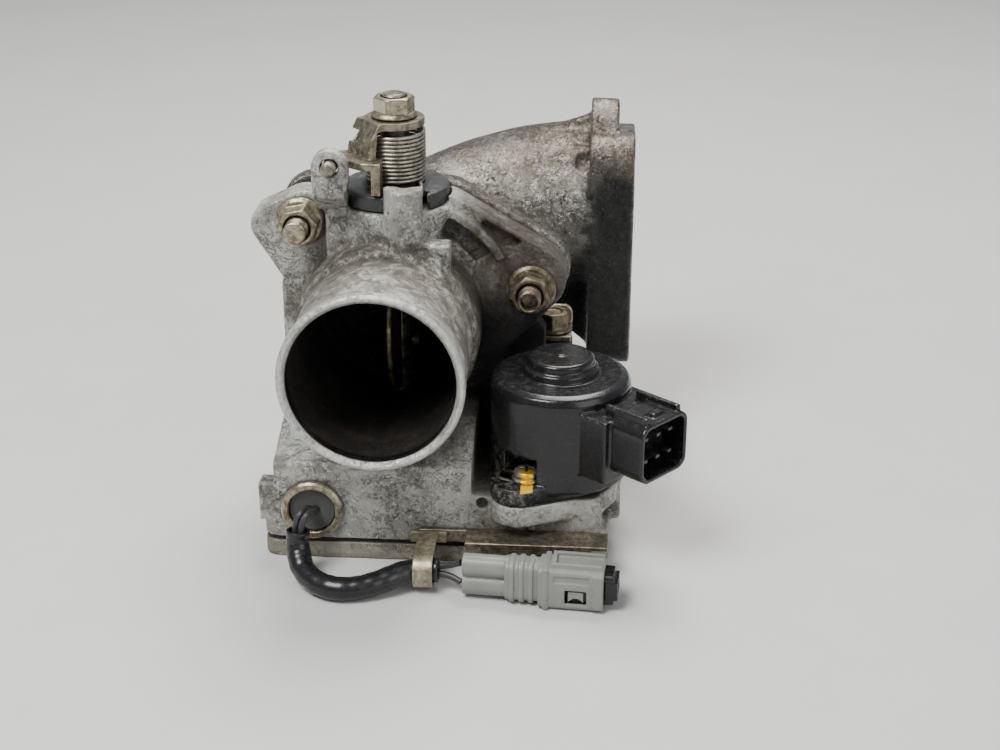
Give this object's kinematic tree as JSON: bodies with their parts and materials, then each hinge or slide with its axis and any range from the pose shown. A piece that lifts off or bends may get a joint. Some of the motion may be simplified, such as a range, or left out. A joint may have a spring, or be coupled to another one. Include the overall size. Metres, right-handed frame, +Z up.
{
  "type": "throttle body",
  "caption": "Electrically driven intake throttle body with cast outlet elbow, drive motor, gear train, return spring and position switch pigtail.",
  "frame": {"origin": "underside of the gear cover, below the bore's axis and in the plane of the throttle shaft", "axes": "+Z up along the throttle shaft; +Y along the air's way in through the inlet; +X out of the elbow's outlet"},
  "size_m": [0.1477, 0.1877, 0.149],
  "materials": {
    "cast_aluminium": "weathered sand-cast, matt",
    "elbow_casting": "weathered sand-cast, darker with sooty oil film",
    "zinc_plate": "yellowed zinc plate, dull",
    "steel": "machined steel",
    "spring_steel": "drawn wire, dull",
    "brass": "machined, soot stained",
    "copper": "enamelled windings",
    "black_plastic": "glass-filled, satin, dusty",
    "dark_plastic": "moulded, dusty",
    "grey_plastic": "moulded, grimy",
    "nylon": "natural gear nylon",
    "black_rubber": "satin",
    "gasket": "coated fibre"
  },
  "bodies": {
    "housing": {"throttle_body": "cast_aluminium", "gear_cover": "cast_aluminium", "elbow": "elbow_casting", "cover_screw_1": "zinc_plate", "cover_screw_2": "zinc_plate", "cover_screw_3": "zinc_plate", "cover_screw_4": "zinc_plate", "motor_screw_front": "zinc_plate", "motor_screw_rear": "zinc_plate", "nut_left": "zinc_plate", "nut_right": "zinc_plate", "joint_bolt_left": "zinc_plate", "joint_bolt_right": "zinc_plate", "stay_bracket": "zinc_plate", "stay_bolt": "zinc_plate", "switch_body": "zinc_plate", "cable_clamp": "zinc_plate", "connector_bracket": "zinc_plate", "bracket_screw": "zinc_plate", "upper_bearing": "steel", "lower_bearing": "steel", "stop_screw": "steel", "intermediate_pin": "steel", "motor_bearing": "steel", "stud_left": "steel", "stud_right": "steel", "torsion_spring": "spring_steel", "motor_stator": "copper", "motor_housing": "black_plastic", "motor_pin_header": "black_plastic", "connector_insert": "black_plastic", "spring_drum": "dark_plastic", "connector_shell": "grey_plastic", "switch_potting": "grey_plastic", "upper_seal": "black_rubber", "lower_seal": "black_rubber", "motor_oring": "black_rubber", "wire_1": "black_rubber", "wire_2": "black_rubber", "wire_sleeve": "black_rubber", "cover_gasket": "gasket", "joint_gasket": "gasket"},
    "throttle": {"throttle_shaft": "steel", "throttle_plate": "brass", "plate_screw_1": "steel", "plate_screw_2": "steel", "throttle_gear": "nylon", "gear_nut": "zinc_plate", "lever": "zinc_plate", "shaft_nut": "zinc_plate"},
    "intermediate": {"intermediate_gear": "nylon"},
    "rotor": {"motor_rotor": "steel", "motor_pinion": "brass"}
  },
  "joints": [
    {"name": "throttle_turn", "type": "hinge", "parent": "housing", "child": "throttle", "pos_m": [0.0015, 0, 0], "axis": [0, 0, 1], "range_deg": [-80, 0], "stiffness_Nm_per_rad": 0.02, "springref_deg": 20.05, "deforming": ["torsion_spring"]},
    {"name": "intermediate_spin", "type": "hinge", "parent": "housing", "child": "intermediate", "pos_m": [0.03599, -0.00594, 0], "axis": [0, 0, 1], "range_deg": [0, 240]},
    {"name": "rotor_spin", "type": "hinge", "parent": "housing", "child": "rotor", "pos_m": [0.0583, -0.026, 0], "axis": [0, 0, 1], "range_deg": [-960, 0]}
  ],
  "couplings": [
    {"joint": "intermediate_spin", "follows": "throttle_turn", "ratio": -3},
    {"joint": "rotor_spin", "follows": "throttle_turn", "ratio": 12}
  ]
}
